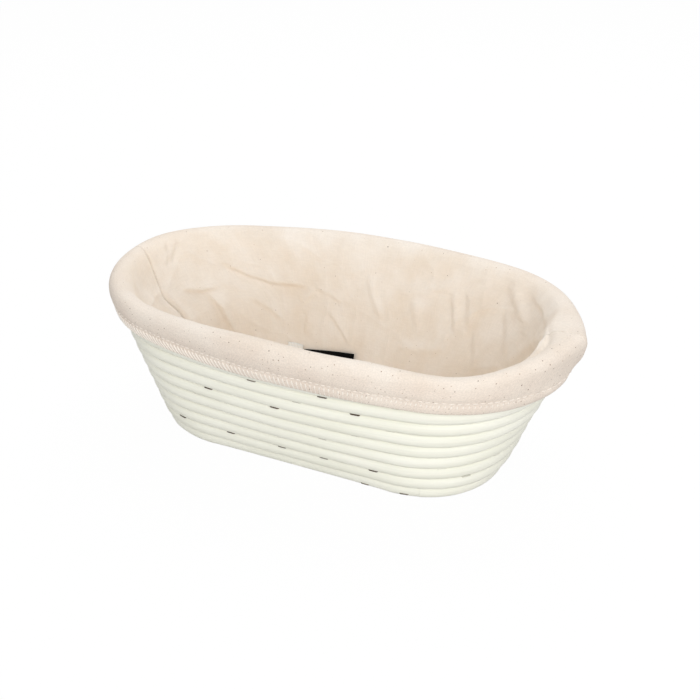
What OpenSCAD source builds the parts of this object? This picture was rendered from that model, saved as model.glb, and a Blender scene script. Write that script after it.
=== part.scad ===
// Oval proofing basket: a coiled cane basket with a cloth liner that folds over its rim
// Millimetres. +Z is up, +X is along the basket, and the basket stands on z = 0.

/* [Basket] */
// Length of the rim, over the outside of the top cane
rim_length = 250; // [246:1:256]
// Width of the rim, over the outside of the top cane
rim_width = 148; // [145:1:151]
// Length of the foot, over the outside of the lowest cane
foot_length = 191; // [188:1:194]
// Radius of the gentle bow in the rim's long sides
rim_side_radius = 260; // [240:10:500]
// How the flare grows with height: 1 is a straight wall, less is a bowl
flare_power = 0.85; // [0.8:0.05:1.1]

/* [Cane] */
// Thickness of the cane
cane_d = 6.8; // [6.4:0.1:6.8]
// Courses of cane in the wall
courses = 11; // [11:1:12]
// Height from one wall course to the next
wall_pitch = 7.55; // [7.4:0.05:7.8]
// Turns of cane in the flat base
base_turns = 6; // [5:1:6]
// Distance from one turn of the flat base to the next
base_pitch = 7.25; // [7.25:0.05:7.5]

/* [Staples] */
// Staples in one wall course
staples_per_course = 18; // [12:1:22]
// Space between the staples of the base
base_staple_gap = 42; // [36:1:60]
// Length of a staple's crown
crown = 5; // [4.6:0.2:5.6]
// Length of a staple's legs
leg = 11; // [10:0.5:11]
// Thickness of the staple wire
wire = 0.7; // [0.6:0.1:0.8]

/* [Liner] */
// Thickness of the cloth
cloth = 1; // [0.8:0.1:1.2]
// Gap between the cloth and the cane
ease = 0.4; // [0.4:0.1:0.6]
// Extra slack of the cloth where it rolls over the rim
roll_slack = 0.8; // [0.6:0.1:1]
// Height of the lower edge of the hem
hem_low = 63; // [60:1:66]
// Height of the hem band
hem_h = 6.6; // [6.2:0.2:7.4]
// Thickness of the elastic
elastic_t = 0.7; // [0.5:0.1:0.8]

/* [Labels] */
// Width of the woven label, which is left bare
woven_w = 32; // [24:1:34]
// Height of the woven label at its high end
woven_h = 13; // [10:0.5:14]
// Width of the care label
care_w = 10; // [8:1:10]
// Height of the care label
care_h = 11; // [9:0.5:12]

/* [Hidden] */

cane_colour = "#F1F0E0";
staple_colour = "#5B4738";
cloth_colour = "#EADCCB";
elastic_colour = "#F4F2EC";
woven_colour = "#1D1D1F";

// The cane has six sides, flat above and below, and is cut flat where the basket stands on it
cane_r = cane_d / 2;
flat_r = cane_r * cos(30);
stand_cut = cane_d / 10;
foot_z = cane_r - stand_cut;
rim_course = courses - 1;
rim_z = foot_z + rim_course * wall_pitch;

// Half axes of the cane's middle line at the rim and at the foot, and half a straight run of the base
rim_a = rim_length / 2 - cane_r;
rim_b = rim_width / 2 - cane_r;
foot_a = foot_length / 2 - cane_r;
foot_b = base_turns * base_pitch;
run = foot_a - foot_b;
straight_side = 100000;

// One loop has 24 steps: four on each quarter's end arc, then two on half of a long side
steps = 24;
quarter = steps / 4;
end_steps = 4;
side_steps = quarter - end_steps;
arc_step = 90 / end_steps;
// Step at which two lengths of cane meet, at the right of the front
splice = 21;
wall_canes = 4;
turns_per_cane = 3;
// The wall climbs a course over these steps of a loop, counted from the splice, along the back
climb_from = 7;
climb_steps = 6;
// The last cane thins to a tail over the start of the last climb
tail_steps = 3;
wall_steps = rim_course * steps + climb_from + tail_steps;
base_steps = (base_turns - 1) * steps + splice - end_steps;

// Staple crowns lie in the grooves, this far outside the middle of the cane, and the legs slant in
staple_out = 2;
staple_slant = 18;
staple_width = 0.9;
base_staple_out = 1.2;
base_staple_slant = 8;
foot_staple_sink = 0.9;
rim_staple_sink = 0.9;
// Share of a staple's space at which each course starts, and by which it is set on from the one below
staple_start = 0.25;
stagger = 0.5;

// The hem is a fold of cloth with the elastic lying in it
hem_top = hem_low + hem_h;
fold_gap = 0.45;
hem_in = cane_r + ease;
hem_out = hem_in + cloth + elastic_t + 2 * fold_gap;
inner_leg = hem_h - 0.6;
elastic_h = hem_h - cloth - 1.4;

// The liner's floor lies on the base, and its walls stand on the floor
floor_low = foot_z + flat_r + ease;
floor_top = floor_low + cloth;
lining = cane_r + ease;
seam_gap = 0.1;
bead = 1.2;
seam_half = 1.2;
seam_low = floor_top + bead + 2 * seam_gap;
// The walls of the liner bend with the flare at the height of every course
bend_levels = [for (c = [1 : rim_course]) course_z(c)];
wall_levels = concat([floor_top], bend_levels);
seam_levels = concat([seam_low], bend_levels);
roll_steps = 6;

// The labels stand in front of the floor seam at the back and lean towards the wall
label_t = 0.5;
label_room = 1;
label_y = half_width(course_at(floor_top)) - lining - cloth - bead - label_room;
label_lean = 20;
woven_x = -41;
woven_drop = 3;
care_x = -52;

function smooth(x) = let (u = min(1, max(0, x))) u * u * (3 - 2 * u);
function sign_of(x) = x < 0 ? -1 : 1;

// Oval of a course: its long sides are wide arcs, and its ends are arcs that run into them
function share(c) = pow(max(0, c) / rim_course, flare_power);
function half_length(c) = foot_a + (rim_a - foot_a) * share(c);
function half_width(c) = foot_b + (rim_b - foot_b) * share(c);
function side_radius(c) = 1 / max(1 / straight_side, share(c) / rim_side_radius);
function end_radius(c) =
  let (a = half_length(c), b = half_width(c), r = side_radius(c))
  (a * a + b * b - 2 * r * b) / (2 * (a - r));
// Direction in which the end arc runs into the side arc
function turn_angle(c) =
  atan2(side_radius(c) - half_width(c), half_length(c) - end_radius(c));

// Direction of the outward normal after m steps from an end, and after k steps of the whole loop
function quarter_angle(c, m) =
  let (t = turn_angle(c))
  m <= end_steps ? t * m / end_steps : t + (90 - t) * (m - end_steps) / side_steps;
function step_angle(c, k) =
  let (q = floor(k / quarter), m = k - q * quarter)
  q % 2 == 0 ? 90 * q + quarter_angle(c, m) : 90 * (q + 1) - quarter_angle(c, quarter - m);

// Point of the oval of course c whose outward normal is at angle phi, moved outwards by off
function oval_point(c, phi, off = 0) =
  let (a = half_length(c), b = half_width(c), big = side_radius(c), small = end_radius(c))
  abs(sin(phi)) >= sin(turn_angle(c)) - 1e-9
    ? [(big + off) * cos(phi), sign_of(sin(phi)) * ((big + off) * abs(sin(phi)) - big + b)]
    : [sign_of(cos(phi)) * (a - small) + (small + off) * cos(phi), (small + off) * sin(phi)];
function course_z(c) = foot_z + c * wall_pitch;
function course_at(z) = min(rim_course, max(0, (z - foot_z) / wall_pitch));
// Point at height z and step k, off outside the middle of the cane wall
function wall_point(off, z, k) =
  let (c = course_at(z), p = oval_point(c, step_angle(c, k % steps), off))
  [p[0], p[1], z];

// A ring of a cane is its middle, the direction of its outward normal, and its share of full height
function base_ring(i) =
  let (m = floor(i / steps), q = i - m * steps)
  q < 4 ? [[run - run * q / 2, m * base_pitch, foot_z], 90, 1]
  : q < 12 ? let (f = 90 + arc_step * (q - 4), r = (m + 0.5) * base_pitch)
    [[r * cos(f) - run, r * sin(f) - base_pitch / 2, foot_z], f, 1]
  : q < 16 ? [[run * (q - 12) / 2 - run, -(m + 1) * base_pitch, foot_z], 270, 1]
  : let (f = 270 + arc_step * (q - 16), r = (m + 1) * base_pitch)
    [[run + r * cos(f), r * sin(f), foot_z], f, 1];

function climb(i) = smooth((i % steps - climb_from) / climb_steps);
function winding_course(i) = min(rim_course, floor(i / steps) + climb(i));
function tail_share(i) = i < rim_course * steps ? 1 : 1 - climb(i) * wall_pitch / (2 * flat_r);
function wall_ring(i) =
  let (c = winding_course(i), phi = step_angle(c, (i + splice) % steps), p = oval_point(c, phi))
  [[p[0], p[1], course_z(c) + flat_r * (1 - tail_share(i))], phi, tail_share(i)];

// Six corners of a ring. A cane is straight between rings, so its ends run straight and meet face to face
function cane_corners(ring) =
  [for (s = [0 : 5])
    let (n = cane_r * cos(60 * s), z = ring[0][2] + ring[2] * cane_r * sin(60 * s))
    [ring[0][0] + n * cos(ring[1]), ring[0][1] + n * sin(ring[1]), max(0, z)]];

// Least gap of a cane to its own turns, from its points that are half a loop apart or more
function ring_gap(p, q) = norm(p[0] - q[0]) - cane_r * (p[2] + q[2]);
function least_gap(rings) =
  min([for (i = [0 : len(rings) - 1]) for (j = [i + steps / 2 : 1 : len(rings) - 1])
    ring_gap(rings[i], rings[j])]);

function side_faces(n, from, to) =
  [for (j = [0 : n - 1])
    let (a = from * n + j, b = from * n + (j + 1) % n, c = to * n + j, d = to * n + (j + 1) % n)
    each [[a, b, d], [a, d, c]]];

// Solid through rings of points, with a flat face at both ends
module lofted(rings) {
  n = len(rings[0]);
  last = len(rings) - 1;
  sides = [for (i = [0 : last - 1]) each side_faces(n, i, i + 1)];
  first_face = [for (j = [n - 1 : -1 : 0]) j];
  last_face = [for (j = [0 : n - 1]) last * n + j];
  polyhedron([for (ring = rings) each ring], concat(sides, [first_face, last_face]));
}

// Solid through rings of points that closes on itself
module lofted_loop(rings) {
  n = len(rings[0]);
  count = len(rings);
  sides = [for (i = [0 : count - 1]) each side_faces(n, i, (i + 1) % count)];
  polyhedron([for (ring = rings) each ring], sides);
}

// A section is a list of [outside the cane's middle, height], and it follows the wall round
module half_round(section, first_step) {
  lofted([for (k = [first_step : first_step + steps / 2])
    [for (p = section) wall_point(p[0], p[1], k)]]);
}
module all_round(section) {
  lofted_loop([for (k = [0 : steps - 1]) [for (p = section) wall_point(p[0], p[1], k)]]);
}

module cane(name, rings) {
  echo(str(name, " least gap to itself, mm: ", round(100 * least_gap(rings)) / 100));
  color(cane_colour) lofted([for (ring = rings) cane_corners(ring)]);
}

// Flat spiral of the base, from its straight start in the middle to the first wall cane
module base_cane() {
  cane("base_cane", [for (i = [0 : base_steps]) base_ring(i)]);
}

// Turn of the wall's winding at which each length of cane starts: the first length is the shorter one
function first_turn(number) = max(0, courses - (wall_canes + 1 - number) * turns_per_cane);

// One length of the wall's winding
module wall_cane(number) {
  first = first_turn(number) * steps;
  last = min(wall_steps, first_turn(number + 1) * steps);
  cane(str("wall_cane_", number), [for (i = [first : last]) wall_ring(i)]);
}

// Wire staple with its crown along X, its legs down Y and its width along Z
module staple() {
  half = crown / 2;
  color(staple_colour)
    linear_extrude(height = staple_width, center = true)
      polygon([
        [-half, 0], [-half, -leg], [wire - half, -leg], [wire - half, -wire],
        [half - wire, -wire], [half - wire, -leg], [half, -leg], [half, 0]
      ]);
}

// Staple through a cane ring: rise is how far the crown lies from the cane's middle, up the lean
module driven_staple(ring, lean, out, rise, slant) {
  translate(ring[0])
    rotate([0, 0, ring[1]])
      rotate([0, lean, 0])
        translate([out, 0, rise])
          rotate([90, 0, 90])
            rotate([slant, 0, 0])
              staple();
}

// Ring on the straight piece of cane between two steps
function ring_between(p, q, u) =
  [for (j = [0 : 2]) p[j] + (q[j] - p[j]) * u];
function wall_ring_near(i) =
  let (low = floor(i), p = wall_ring(low), q = wall_ring(low + 1), turned = q[1] < p[1] - 180 ? 360 : 0)
  ring_between(p, [q[0], q[1] + turned, q[2]], i - low);

// Step of the loop at a share of the length round the oval of course c
function step_at(c, s) =
  let (
    end_length = end_radius(c) * turn_angle(c) * PI / 180,
    side_length = side_radius(c) * (90 - turn_angle(c)) * PI / 180,
    q = floor(4 * s),
    u = (4 * s - q) * (end_length + side_length),
    v = q % 2 == 0 ? u : end_length + side_length - u,
    m = v < end_length ? end_steps * v / end_length : end_steps + side_steps * (v - end_length) / side_length
  )
  q * quarter + (q % 2 == 0 ? m : quarter - m);

// Outward lean of the wall at a ring of course c
function lean_at(c, phi) =
  let (low = min(c, rim_course - 1), rise = oval_point(low + 1, phi) - oval_point(low, phi))
  atan2(rise * [cos(phi), sin(phi)], wall_pitch);

// Staples that hold one length of wall cane to the course below it
module wall_staples(number) {
  for (turn = [first_turn(number) : first_turn(number + 1) - 1])
    for (j = [0 : staples_per_course - 1]) {
      around = (j + staple_start + turn * stagger) / staples_per_course;
      i = turn * steps + (step_at(turn, around % 1) - splice + steps) % steps;
      c = winding_course(i);
      ring = wall_ring_near(i);
      lean = lean_at(c, ring[1]);
      sink = c > rim_course - 0.5 ? rim_staple_sink : 0;
      if (c > 0.95 && i < wall_steps - tail_steps)
        driven_staple(ring, lean, staple_out, (wall_pitch / cos(lean) + wire) / 2 - sink, staple_slant);
    }
}

// Staples that hold each turn of the base to the turn inside it, and the foot to the base
module base_staples() {
  for (turn = [1 : base_turns - 1]) {
    loop_length = 4 * run + 2 * PI * (turn + 0.75) * base_pitch;
    count = round(loop_length / base_staple_gap);
    outer = turn == base_turns - 1;
    for (j = [0 : count - 1]) {
      i = floor((turn + (j + 0.5) / count) * steps);
      rise = (base_pitch + wire) / 2 - (outer && i % steps > 6 ? foot_staple_sink : 0);
      if (i < base_steps)
        driven_staple(base_ring(i), 90, base_staple_out, rise, base_staple_slant);
    }
  }
}

// Oval bottom panel of the liner
module liner_floor() {
  color(cloth_colour)
    translate([0, 0, floor_low])
      linear_extrude(height = cloth)
        polygon([for (k = [0 : steps - 1])
          let (p = wall_point(-lining - seam_gap, floor_top, k)) [p[0], p[1]]]);
}

// Half of the liner's wall, from the floor to the rim
module liner_wall(first_step) {
  section = concat(
    [for (z = wall_levels) [-lining, z]],
    [for (j = [len(wall_levels) - 1 : -1 : 0]) [-lining - cloth, wall_levels[j]]]
  );
  color(cloth_colour) half_round(section, first_step);
}
module liner_front() { liner_wall(steps / 2); }
module liner_back() { liner_wall(0); }

// Half of the cloth that rolls over the rim and down to the hem
module cuff(first_step) {
  function roll_radius(j) = lining + roll_slack * j / roll_steps;
  function rolled(j, t) =
    let (f = 180 - 180 * j / roll_steps, r = roll_radius(j) + t)
    [r * cos(f), rim_z + r * sin(f)];
  section = concat(
    [[hem_out + cloth, hem_top]],
    [for (j = [roll_steps : -1 : 0]) rolled(j, cloth)],
    [for (j = [0 : roll_steps]) rolled(j, 0)],
    [[hem_out, hem_top]]
  );
  color(cloth_colour) half_round(section, first_step);
}
module cuff_front() { cuff(steps / 2); }
module cuff_back() { cuff(0); }

// Half of the hem: the cloth's edge folded up inside, with room for the elastic
module hem(first_step) {
  section = [
    [hem_out + cloth, hem_low], [hem_out + cloth, hem_top],
    [hem_out, hem_top], [hem_out, hem_low + cloth],
    [hem_in + cloth, hem_low + cloth], [hem_in + cloth, hem_low + inner_leg],
    [hem_in, hem_low + inner_leg], [hem_in, hem_low]
  ];
  color(cloth_colour) half_round(section, first_step);
}
module hem_front() { hem(steps / 2); }
module hem_back() { hem(0); }

// Flat elastic that draws the hem in under the rim
module hem_elastic() {
  near = hem_in + cloth + fold_gap;
  low = hem_low + cloth + fold_gap;
  section = [
    [near + elastic_t, low], [near + elastic_t, low + elastic_h],
    [near, low + elastic_h], [near, low]
  ];
  color(elastic_colour) all_round(section);
}

// Pressed seam allowance where the two wall panels meet at an end
module end_seam(k) {
  near = -lining - cloth - 3 * seam_gap;
  function corner(z, out, side) = wall_point(near - out, z, k) + [0, side * seam_half, 0];
  way = k == 0 ? 1 : -1;
  color(cloth_colour)
    lofted([for (z = seam_levels) [
      corner(z, 0, -way), corner(z, cloth / 2, -way), corner(z, cloth / 2, way), corner(z, 0, way)
    ]]);
}
module left_end_seam() { end_seam(steps / 2); }
module right_end_seam() { end_seam(0); }

// Bead of the seam between the floor and the wall of the liner
module floor_seam() {
  near = -lining - cloth - seam_gap;
  low = floor_top + seam_gap;
  section = [[near, low], [near, low + bead], [near - bead / 2, low + bead], [near - bead, low]];
  color(cloth_colour) all_round(section);
}

// Flat label with its outline in the leaning plane along the back of the floor
module standing_label(outline) {
  translate([0, label_y, floor_top + seam_gap])
    rotate([90 - label_lean, 0, 0])
      linear_extrude(height = label_t)
        polygon(outline);
}
module woven_label() {
  far = woven_x + woven_w;
  color(woven_colour)
    standing_label([[woven_x, 0], [far, 0], [far, woven_h], [woven_x, woven_h - woven_drop]]);
}
module care_label() {
  color(elastic_colour)
    standing_label([[care_x, 0], [care_x + care_w, 0], [care_x + care_w, care_h], [care_x, care_h]]);
}

base_cane();
wall_cane(1);  // wall_cane_1
wall_cane(2);  // wall_cane_2
wall_cane(3);  // wall_cane_3
wall_cane(4);  // wall_cane_4
base_staples();
wall_staples(1);  // wall_staples_1
wall_staples(2);  // wall_staples_2
wall_staples(3);  // wall_staples_3
wall_staples(4);  // wall_staples_4
liner_floor();
liner_front();
liner_back();
cuff_front();
cuff_back();
hem_front();
hem_back();
hem_elastic();
left_end_seam();
right_end_seam();
floor_seam();
woven_label();
care_label();
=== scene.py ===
import math
import random

import bmesh
import bpy
from mathutils import Matrix, Vector, noise


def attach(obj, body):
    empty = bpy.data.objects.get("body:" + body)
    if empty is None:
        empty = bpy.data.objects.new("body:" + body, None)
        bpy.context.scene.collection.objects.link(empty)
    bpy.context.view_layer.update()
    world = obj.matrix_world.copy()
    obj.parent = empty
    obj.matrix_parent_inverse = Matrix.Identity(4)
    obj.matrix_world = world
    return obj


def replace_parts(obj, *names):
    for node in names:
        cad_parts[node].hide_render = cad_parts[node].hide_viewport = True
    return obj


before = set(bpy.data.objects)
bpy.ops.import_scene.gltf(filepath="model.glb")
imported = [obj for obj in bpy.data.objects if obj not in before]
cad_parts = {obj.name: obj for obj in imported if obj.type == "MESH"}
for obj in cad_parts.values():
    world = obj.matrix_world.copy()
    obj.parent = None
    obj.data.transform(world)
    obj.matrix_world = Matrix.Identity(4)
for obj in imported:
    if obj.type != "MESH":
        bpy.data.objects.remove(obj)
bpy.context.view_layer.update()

mm = 0.001
scene = bpy.context.scene
print("frame loaded")

# The oval wall that every cane and cloth follows, with the sizes of the part's source
wall = {
    "rimLength": 250 * mm,
    "rimWidth": 148 * mm,
    "footLength": 191 * mm,
    "rimSideRadius": 260 * mm,
    "straightSide": 100.0,  # the foot's sides are all but straight
    "flarePower": 0.85,
    "cane": 6.8 * mm,
    "courses": 11,
    "pitch": 7.55 * mm,
    "baseTurns": 6,
    "basePitch": 7.25 * mm,
    "splice": 21,  # where each cane is butted to the next, in 24ths of the loop
    "climbFrom": 7,
    "climbSteps": 6,
}
loopSteps, quarterSteps, endSteps, sideSteps = 24, 6, 4, 2
caneR = wall["cane"] / 2
footZ = caneR - wall["cane"] / 10  # the foot is sanded flat
rimCourse = wall["courses"] - 1
rimZ = footZ + rimCourse * wall["pitch"]
rimHalf = (wall["rimLength"] / 2 - caneR, wall["rimWidth"] / 2 - caneR)
footHalf = (wall["footLength"] / 2 - caneR, wall["baseTurns"] * wall["basePitch"])
baseRun = footHalf[0] - footHalf[1]  # half the straight run of the base coil
up = Vector((0, 0, 1))


def mix(a, b, t):
    return a + (b - a) * t


def smooth(t):
    t = min(1.0, max(0.0, t))
    return t * t * (3 - 2 * t)


def bell(away, width):
    return math.exp(-(away / width) ** 2)


def heading(facing):  # the level direction that a side faces
    return Vector((math.cos(facing), math.sin(facing), 0))


def leaning(facing, lean):  # straight out of a wall that leans, and up along it
    out = heading(facing)
    return out * math.cos(lean) - up * math.sin(lean), out * math.sin(lean) + up * math.cos(lean)


def oval(course):  # half length, half width, side radius, end radius, angle where they meet
    grown = (max(0.0, course) / rimCourse) ** wall["flarePower"]
    a, b = (mix(footHalf[i], rimHalf[i], grown) for i in (0, 1))
    side = 1 / max(1 / wall["straightSide"], grown / wall["rimSideRadius"])
    end = (a * a + b * b - 2 * side * b) / (2 * (a - side))
    return a, b, side, end, math.atan2(side - b, a - end)


def quarterStep(step):  # the quarter of the loop that a step is in, and its distance from the middle of an end
    quarter, m = divmod(step % loopSteps, quarterSteps)
    return quarter, quarterSteps - m if quarter % 2 else m


def stepAngle(course, step):  # which way the wall faces, so many 24ths round from the right end
    turn = oval(course)[4]
    quarter, m = quarterStep(step)
    angle = turn * m / endSteps if m <= endSteps else mix(turn, math.pi / 2, (m - endSteps) / sideSteps)
    return (quarter + 1) * math.pi / 2 - angle if quarter % 2 else quarter * math.pi / 2 + angle


def ovalPoint(course, facing, off=0.0):
    a, b, side, end, turn = oval(course)
    c, s = math.cos(facing), math.sin(facing)
    if abs(s) >= math.sin(turn) - 1e-9:
        return Vector(((side + off) * c, math.copysign((side + off) * abs(s) - side + b, s), 0))
    return Vector((math.copysign(a - end, c) + (end + off) * c, (end + off) * s, 0))


# Wound by hand, the wall strays from the even oval: at which course and 24th of the loop, how far out, and how widely
strays = (
    {"course": 0, "step": 22.1, "out": 2.6 * mm, "courses": 2.2, "steps": 1.5},
    {"course": 0, "step": 13.8, "out": 2.2 * mm, "courses": 2.4, "steps": 1.7},
    {"course": 3.6, "step": 23.0, "out": -1.2 * mm, "courses": 1.6, "steps": 1.5},
    {"course": 10, "step": 13.6, "out": -1.0 * mm, "courses": 4.0, "steps": 1.7},
    {"course": 10, "step": 1.5, "out": -1.1 * mm, "courses": 3.0, "steps": 0.9},
)


def stray(course, step):
    total = 0.0
    for place in strays:
        away = (step - place["step"] + loopSteps / 2) % loopSteps - loopSteps / 2
        total += place["out"] * math.exp(-((course - place["course"]) / place["courses"]) ** 2 - (away / place["steps"]) ** 2)
    return total


def wallPoint(off, z, step):  # a point so far outside the middle of the cane wall
    course = min(rimCourse, max(0.0, (z - footZ) / wall["pitch"]))
    point = ovalPoint(course, stepAngle(course, step), off + stray(course, step))
    point.z = z
    return point


def linear(code):  # sRGB hex to the linear colour that a shader takes
    parts = [int(code[i:i + 2], 16) / 255 for i in (1, 3, 5)]
    return (*(c / 12.92 if c <= 0.04045 else ((c + 0.055) / 1.055) ** 2.4 for c in parts), 1)


def plug(tree, node, inputs):  # inputs are sockets to link or values to set
    for socket, source in inputs.items():
        if isinstance(source, bpy.types.NodeSocket):
            tree.links.new(source, node.inputs[socket])
        else:
            node.inputs[socket].default_value = source


def addNode(tree, kind, inputs=None, **settings):
    node = tree.nodes.new("ShaderNode" + kind)
    for name, value in settings.items():
        setattr(node, name, value)
    plug(tree, node, inputs or {})
    return node


def addNoise(tree, place, scale, detail, roughness=0.5):
    inputs = {"Vector": place, "Scale": scale, "Detail": detail, "Roughness": roughness}
    return addNode(tree, "TexNoise", inputs).outputs["Fac"]


def inSizes(tree, place, first, second):  # a place counted in these two lengths
    return addNode(tree, "Mapping", {"Vector": place, "Scale": (1 / first, 1 / second, 1)}).outputs[0]


def ranged(tree, value, fromMin, fromMax, toMin, toMax):
    inputs = {"Value": value, "From Min": fromMin, "From Max": fromMax, "To Min": toMin, "To Max": toMax}
    return addNode(tree, "MapRange", inputs).outputs[0]


def blend(tree, share, *tones):  # two tones, as sRGB hex or as sockets
    first, second = (linear(tone) if isinstance(tone, str) else tone for tone in tones)
    return addNode(tree, "Mix", {0: share, 6: first, 7: second}, data_type="RGBA").outputs[2]


def maths(tree, operation, *values, **settings):
    return addNode(tree, "Math", dict(enumerate(values)), operation=operation, **settings).outputs[0]


def clothMap(tree):
    return addNode(tree, "UVMap", uv_map="weave").outputs["UV"]


def newMaterial(name):
    material = bpy.data.materials.new(name)
    material.use_nodes = True
    return material, material.node_tree, material.node_tree.nodes["Principled BSDF"]


def addObject(name, bm, material):
    mesh = bpy.data.meshes.new(name)
    bm.to_mesh(mesh)
    bm.free()
    mesh.materials.append(material)
    piece = bpy.data.objects.new(name, mesh)
    scene.collection.objects.link(piece)
    return piece


def finishPiece(name, bm, material, body, slot):
    for face in bm.faces:
        face.smooth = True
    piece = addObject(name, bm, material)
    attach(piece, body)
    return piece


# Bleached rattan, split and sanded: a pale, faintly green ivory with fine lengthwise fibre and no coat
bleachedRattan, tree, shader = newMaterial("bleachedRattan")
grain = addNode(tree, "Attribute", attribute_name="grain").outputs["Vector"]
# fibres are 0.3 mm wide, drawn three times wider to show
fibre = addNoise(tree, inSizes(tree, grain, 40 * mm, 0.9 * mm), 1.0, 4.0, 0.6)
patch = addNoise(tree, inSizes(tree, grain, 55 * mm, 14 * mm), 1.0, 2.0)
tone = addNode(tree, "ValToRGB", {"Fac": patch})
for stop, at, colour in zip(tone.color_ramp.elements, (0.3, 0.72), ("#EDECDE", "#F4F3E8")):
    stop.position, stop.color = at, linear(colour)
streak = ranged(tree, fibre, 0.3, 0.7, 0.95, 1.02)
caneColour = addNode(tree, "VectorMath", {0: tone.outputs["Color"], 1: streak}, operation="MULTIPLY").outputs[0]
caneRough = ranged(tree, fibre, 0.0, 1.0, 0.46, 0.62)
caneBump = addNode(tree, "Bump", {"Height": fibre, "Strength": 0.25, "Distance": 0.12 * mm}).outputs[0]
plug(tree, shader, {"Base Color": caneColour, "Roughness": caneRough, "Normal": caneBump, "IOR": 1.45})

# The wound canes, one for each length that the basket is coiled from
canes = {
    "sides": 16,
    "ringsPerStep": 6,
    "press": 1.01,  # neighbours are pressed together, so the grooves are shallow
    "square": 2.1,  # how far the round section is squared by that
    "halfOut": 3.5 * mm,
    "halfBase": 3.2 * mm,
    "tailEnd": 0.04,  # how thin the last cane's tail gets
    "tailPast": 2.5,  # and how far it runs on over the cane that climbs below it
    "rimLow": 0.5 * mm,  # the rim cane is a little flatter than the others
    "buttGap": 0.0004,  # the lengths are butted with a hair's gap, in steps
    "wander": 0.16 * mm,  # how far the winding strays from a true line
    "wanderPace": 0.35,
    "swell": 0.018,
    "seed": 3,  # else the clock seeds the wander
    "starts": (0, 2, 5, 8),  # the turn each wall cane starts at
    "follow": 0.7,  # how fast the base's strays die away from turn to turn
    "riseFrom": 16,  # steps before its end where the base cane starts to stand up as a course
}
wallSteps = rimCourse * loopSteps + 10  # the last cane tapers away along the back
baseSteps = (wall["baseTurns"] - 1) * loopSteps + 17


def quarterLengths(course):  # a quarter of the loop: the half of an end's arc, then the half of a side
    a, b, side, end, turn = oval(course)
    return end * turn, side * (math.pi / 2 - turn)


def rimShare(step):  # the share of the rim's length at a 24th of the loop
    lengths = quarterLengths(rimCourse)
    quarter, m = quarterStep(step)
    gone = m / endSteps * lengths[0] if m < endSteps else lengths[0] + (m - endSteps) / sideSteps * lengths[1]
    gone /= sum(lengths)
    return (quarter + (1 - gone if quarter % 2 else gone)) / 4


def courseStep(course, share):  # the 24th of the loop at a share of the length round a course
    lengths = quarterLengths(course)
    quarter, rest = divmod((share % 1) * 4, 1)
    gone = (1 - rest if quarter % 2 else rest) * sum(lengths)
    m = endSteps * gone / lengths[0] if gone < lengths[0] else endSteps + sideSteps * (gone - lengths[0]) / lengths[1]
    return quarter * quarterSteps + (quarterSteps - m if quarter % 2 else m)


def stepAt(share):
    return courseStep(rimCourse, share)


girth = 4 * sum(quarterLengths(rimCourse))
# The hand-wound rim isn't level: how far it dips, where round the rim and over what width
rimWaves = (
    {"dip": 4.6 * mm, "at": 561 * mm, "width": 30 * mm},
    {"dip": -1.6 * mm, "at": 466 * mm, "width": 32 * mm},  # here the cloth stands up off it
    {"dip": 0.9 * mm, "at": 402 * mm, "width": 14 * mm},
    {"dip": -1.1 * mm, "at": 298 * mm, "width": 20 * mm},
    {"dip": 1.3 * mm, "at": 240 * mm, "width": 42 * mm},
    {"dip": -0.8 * mm, "at": 75 * mm, "width": 25 * mm},
)


def rimDip(share):
    q = share % 1 * girth
    return sum(wave["dip"] * bell(q - wave["at"], wave["width"]) for wave in rimWaves)


def rimLowered(step):  # how much lower than a full cane the rim is, with its dip
    return canes["rimLow"] + max(0.0, rimDip(rimShare(step)))


def windingCourse(i):  # each turn climbs to the next course along the back
    climb = smooth((i % loopSteps - wall["climbFrom"]) / wall["climbSteps"])
    return min(rimCourse, math.floor(i / loopSteps) + climb)


def wallRing(i):  # centre, facing, lean and half the slant height of the cane
    course = windingCourse(i)
    facing = stepAngle(course, i + wall["splice"])
    centre = ovalPoint(course, facing, stray(course, i + wall["splice"]))
    low, high = max(0.0, course - 0.5), min(rimCourse, course + 0.5)
    spread = (ovalPoint(high, facing) - ovalPoint(low, facing)).dot(heading(facing)) / (high - low)
    centre.z = footZ + course * wall["pitch"]
    return centre, facing, math.atan2(spread, wall["pitch"]), math.hypot(spread, wall["pitch"]) / 2


# The base coil's turns start four steps after the wall's, with the run along the back
leftFrom = 2 * sideSteps
leftTo = leftFrom + 2 * endSteps
rightFrom = leftTo + 2 * sideSteps


def spiral(turn, q):  # the middle of the base coil and the way it faces, q steps round a turn
    pitch = wall["basePitch"]
    if q < leftFrom:
        return Vector((baseRun * (1 - q / sideSteps), turn * pitch, footZ)), math.pi / 2
    if q < leftTo:
        facing = math.pi / 2 + math.pi * (q - leftFrom) / (leftTo - leftFrom)
        return Vector((-baseRun, -pitch / 2, footZ)) + (turn + 0.5) * pitch * heading(facing), facing
    if q < rightFrom:
        return Vector((baseRun * ((q - leftTo) / sideSteps - 1), -(turn + 1) * pitch, footZ)), 1.5 * math.pi
    facing = 1.5 * math.pi + math.pi * (q - rightFrom) / (loopSteps - rightFrom)
    return Vector((baseRun, 0, footZ)) + (turn + 1) * pitch * heading(facing), facing


def drawnOut(q):  # how far the coil's last turn moves out at the left end, to meet the wall as it climbs
    if q > leftTo:
        return 0.0
    last, facing = spiral(wall["baseTurns"] - 1, q)
    i = q + wall["climbFrom"]
    course, halfUp = windingCourse(i), wallRing(i)[3]
    apart = halfUp + mix(wall["basePitch"] / 2, halfUp, course)
    beside = math.sqrt(max(0.0, apart ** 2 - (course * wall["pitch"]) ** 2))
    across = (ovalPoint(course, stepAngle(course, q + endSteps)) - last).dot(heading(facing))
    return max(0.0, across - beside) * smooth((leftTo - q) / sideSteps)


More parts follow.
